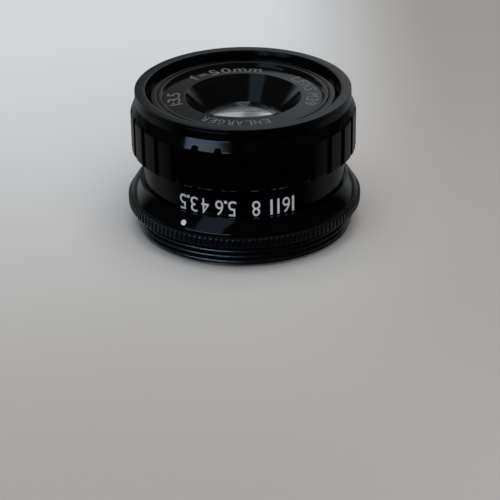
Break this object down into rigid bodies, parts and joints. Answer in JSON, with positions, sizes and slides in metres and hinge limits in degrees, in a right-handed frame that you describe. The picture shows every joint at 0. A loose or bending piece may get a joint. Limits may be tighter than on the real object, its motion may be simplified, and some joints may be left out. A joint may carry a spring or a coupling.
{
  "type": "enlarger lens",
  "caption": "Black enlarger lens with a screw mount, fluted click-stop aperture ring, index dot, recessed name ring and a working leaf iris.",
  "frame": {"origin": "centre of the rear end face of the mount thread", "axes": "+Z along the optical axis towards the front glass, -Y towards the side that carries the aperture scale"},
  "size_m": [0.042, 0.042, 0.026],
  "materials": {
    "mount_black": "semi-gloss black anodised",
    "body_black": "semi-gloss black enamel",
    "grip_black": "semi-gloss black enamel",
    "cell_black": "matt black anodised",
    "index_white": "white paint fill",
    "coated_glass": "coated optical glass",
    "blade_steel": "blued spring steel",
    "drive_brass": "turned brass",
    "screw_steel": "steel",
    "detent_steel": "hardened steel"
  },
  "bodies": {
    "lens_body": {"mount_base": "mount_black", "mount_screw_1": "screw_steel", "mount_screw_2": "screw_steel", "mount_screw_3": "screw_steel", "index_collar": "body_black", "index_dot": "index_white", "main_barrel": "body_black", "front_retaining_ring": "body_black", "name_ring": "body_black", "front_cell": "cell_black", "front_element": "coated_glass", "element_spacer": "cell_black", "second_element": "coated_glass", "iris_base_plate": "cell_black", "iris_clip": "screw_steel", "detent_ball": "detent_steel", "detent_spring": "screw_steel", "rear_cell": "cell_black", "third_element": "coated_glass", "rear_element": "coated_glass", "rear_retainer": "cell_black"},
    "aperture": {"aperture_ring": "grip_black", "coupling_screw": "screw_steel", "iris_drive_ring": "drive_brass"},
    "blade_1": {"iris_blade_1": "blade_steel"},
    "blade_2": {"iris_blade_2": "blade_steel"},
    "blade_3": {"iris_blade_3": "blade_steel"},
    "blade_4": {"iris_blade_4": "blade_steel"},
    "blade_5": {"iris_blade_5": "blade_steel"}
  },
  "joints": [
    {"name": "aperture_turn", "type": "hinge", "parent": "lens_body", "child": "aperture", "pos_m": [0, 0, 0.0154], "axis": [0, 0, 1], "range_deg": [-58, 0]},
    {"name": "blade_1_turn", "type": "hinge", "parent": "lens_body", "child": "blade_1", "pos_m": [0.0094, 0, 0.0117], "axis": [0, 0, 1], "range_deg": [-29, 0]},
    {"name": "blade_2_turn", "type": "hinge", "parent": "lens_body", "child": "blade_2", "pos_m": [0.0029, -0.00894, 0.0117], "axis": [0, 0, 1], "range_deg": [-29, 0]},
    {"name": "blade_3_turn", "type": "hinge", "parent": "lens_body", "child": "blade_3", "pos_m": [-0.0076, -0.00553, 0.0117], "axis": [0, 0, 1], "range_deg": [-29, 0]},
    {"name": "blade_4_turn", "type": "hinge", "parent": "lens_body", "child": "blade_4", "pos_m": [-0.0076, 0.00553, 0.0117], "axis": [0, 0, 1], "range_deg": [-29, 0]},
    {"name": "blade_5_turn", "type": "hinge", "parent": "lens_body", "child": "blade_5", "pos_m": [0.0029, 0.00894, 0.0117], "axis": [0, 0, 1], "range_deg": [-29, 0]}
  ],
  "couplings": [
    {"joint": "blade_1_turn", "follows": "aperture_turn", "ratio": 0.5},
    {"joint": "blade_2_turn", "follows": "aperture_turn", "ratio": 0.5},
    {"joint": "blade_3_turn", "follows": "aperture_turn", "ratio": 0.5},
    {"joint": "blade_4_turn", "follows": "aperture_turn", "ratio": 0.5},
    {"joint": "blade_5_turn", "follows": "aperture_turn", "ratio": 0.5}
  ]
}
